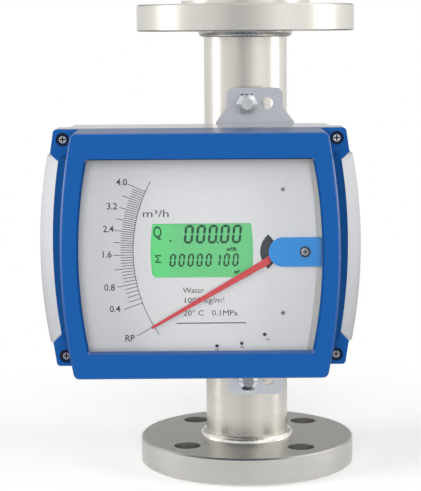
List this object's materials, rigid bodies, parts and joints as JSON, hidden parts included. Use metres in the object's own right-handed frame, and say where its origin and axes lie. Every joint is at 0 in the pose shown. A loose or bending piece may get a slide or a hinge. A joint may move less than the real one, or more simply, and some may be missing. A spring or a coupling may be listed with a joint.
{
  "type": "rotameter",
  "caption": "Flanged metal-tube variable-area flow meter with a magnetic float, a side-mounted pointer dial and a counter display behind a glass window.",
  "frame": {"origin": "centre of the inlet (lower) flange's sealing face, on the pipe axis", "axes": "+Z along the pipe axis in the direction of flow, -Y out of the dial, +X to the right of someone reading the dial"},
  "size_m": [0.1637, 0.1645, 0.25],
  "materials": {
    "stainless_steel": "satin",
    "weld_bead": "bright",
    "machined_steel": "machined",
    "magnet": "ground",
    "sheet_steel": "satin",
    "zinc_steel": "bright zinc",
    "grey_paint": "gloss powder coat",
    "blue_paint": "gloss powder coat",
    "black_rubber": "matt",
    "clear_glass": "polished",
    "bare_aluminium": "satin",
    "dial_print": "satin white enamel",
    "grey_plastic": "moulded",
    "display_glass": "satin",
    "light_plastic": "satin",
    "board": "satin",
    "terminal_plastic": "moulded",
    "white_plastic": "moulded",
    "bridge_plastic": "satin",
    "brass_part": "turned",
    "red_paint": "satin",
    "black_plastic": "moulded",
    "nickel_brass": "nickel plated"
  },
  "bodies": {
    "meter_body": {"inlet_flange": "stainless_steel", "outlet_flange": "stainless_steel", "measuring_tube": "stainless_steel", "upper_boss": "stainless_steel", "lower_boss": "stainless_steel", "inlet_weld": "weld_bead", "outlet_weld": "weld_bead", "inlet_guide": "machined_steel", "outlet_guide": "machined_steel", "guide_rod": "machined_steel", "rest_sleeve": "machined_steel", "stop_sleeve": "machined_steel", "brake_magnet": "magnet", "mounting_plate": "sheet_steel", "bearing_bracket": "sheet_steel", "mounting_bolts": "zinc_steel", "spring_washers": "zinc_steel", "plate_screws": "zinc_steel", "cover_screws": "zinc_steel", "retainer_screws": "zinc_steel", "chassis_screws": "zinc_steel", "dial_screws": "zinc_steel", "bridge_screw": "zinc_steel", "rear_housing": "grey_paint", "front_cover": "blue_paint", "cover_gasket": "black_rubber", "window_seal": "black_rubber", "gland_seal": "black_rubber", "window_glass": "clear_glass", "window_retainer": "bare_aluminium", "chassis_plate": "bare_aluminium", "chassis_posts": "bare_aluminium", "lcd_frame": "bare_aluminium", "dial_plate": "dial_print", "dial_edge_strip": "grey_plastic", "lcd_glass": "display_glass", "backlight": "light_plastic", "circuit_board": "board", "terminal_block": "terminal_plastic", "board_posts": "white_plastic", "pivot_bridge": "bridge_plastic", "front_bearing": "brass_part", "rear_bearing": "brass_part", "key_switches": "black_plastic", "gland_body": "nickel_brass", "gland_nut": "nickel_brass", "blanking_plug": "nickel_brass"},
    "float": {"float_body": "machined_steel", "float_magnet": "magnet", "float_head": "machined_steel"},
    "pointer": {"pointer_shaft": "machined_steel", "pointer_needle": "red_paint", "pointer_hub": "brass_part", "balance_weight": "bare_aluminium", "damping_disc": "bare_aluminium", "follower_arm": "bare_aluminium", "follower_magnet": "magnet"},
    "key_1": {"left_key": "black_plastic"},
    "key_2": {"middle_key": "black_plastic"},
    "key_3": {"right_key": "black_plastic"}
  },
  "joints": [
    {"name": "float_lift", "type": "slide", "parent": "meter_body", "child": "float", "axis": [0, 0, 1], "range_m": [0, 0.044]},
    {"name": "pointer_swing", "type": "hinge", "parent": "meter_body", "child": "pointer", "pos_m": [0.0159, -0.06, 0.1275], "axis": [0, 1, 0], "range_deg": [0, 58]},
    {"name": "left_key_press", "type": "slide", "parent": "meter_body", "child": "key_1", "axis": [0, 1, 0], "range_m": [0, 0.0004], "stiffness_N_per_m": 150},
    {"name": "middle_key_press", "type": "slide", "parent": "meter_body", "child": "key_2", "axis": [0, 1, 0], "range_m": [0, 0.0004], "stiffness_N_per_m": 150},
    {"name": "right_key_press", "type": "slide", "parent": "meter_body", "child": "key_3", "axis": [0, 1, 0], "range_m": [0, 0.0004], "stiffness_N_per_m": 150}
  ],
  "couplings": [
    {"joint": "pointer_swing", "follows": "float_lift", "rad_per_m": 23}
  ]
}
